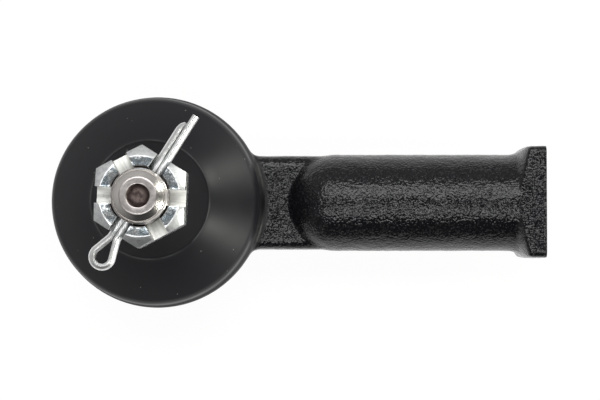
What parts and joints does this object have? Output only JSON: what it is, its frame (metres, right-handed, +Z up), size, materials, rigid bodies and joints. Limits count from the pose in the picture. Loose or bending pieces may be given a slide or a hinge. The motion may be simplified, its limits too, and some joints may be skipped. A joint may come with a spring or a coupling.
{
  "type": "tie rod end",
  "caption": "Outer tie rod end: a forged housing with a threaded rod socket, and a ball stud in a rubber dust boot with a slotted nut and a split pin.",
  "frame": {"origin": "centre of the closing plate's flat outer face, on the stud's axis", "axes": "+Z up along the ball stud, +X along the threaded tube towards its mouth"},
  "size_m": [0.1152, 0.0496, 0.0688],
  "materials": {
    "black_paint": "gloss black paint over rough forged steel",
    "seat_polymer": "moulded bearing polymer",
    "spring_steel": "oiled spring steel",
    "plate_steel": "pressed steel, black painted",
    "stud_steel": "ground and rolled alloy steel",
    "boot_rubber": "moulded rubber, semi-gloss",
    "zinc_plate": "bright zinc plating"
  },
  "bodies": {
    "housing": {"housing": "black_paint", "upper_ball_seat": "seat_polymer", "preload_spring": "spring_steel", "closing_plate": "plate_steel", "dust_boot": "boot_rubber", "boot_clamp_ring": "spring_steel"},
    "ball_seat": {"lower_ball_seat": "seat_polymer"},
    "boot_collar": {"boot_insert_ring": "spring_steel"},
    "ball_stud": {"ball_stud": "stud_steel", "castle_nut": "zinc_plate"},
    "cotter_pin": {"cotter_pin": "zinc_plate"}
  },
  "joints": [
    {"name": "swing_direction", "type": "hinge", "parent": "housing", "child": "ball_seat", "pos_m": [0, 0, 0.0165], "axis": [0, 0, 1], "continuous": true},
    {"name": "stud_tilt", "type": "hinge", "parent": "ball_seat", "child": "boot_collar", "pos_m": [0, 0, 0.0165], "axis": [0, 1, 0], "range_deg": [-25, 25], "deforming": ["dust_boot"]},
    {"name": "stud_spin", "type": "hinge", "parent": "boot_collar", "child": "ball_stud", "pos_m": [0, 0, 0.0165], "axis": [0, 0, 1], "continuous": true},
    {"name": "cotter_pin_pull", "type": "slide", "parent": "ball_stud", "child": "cotter_pin", "axis": [-0.5358, -0.8443, 0], "range_m": [0, 0.035]}
  ]
}
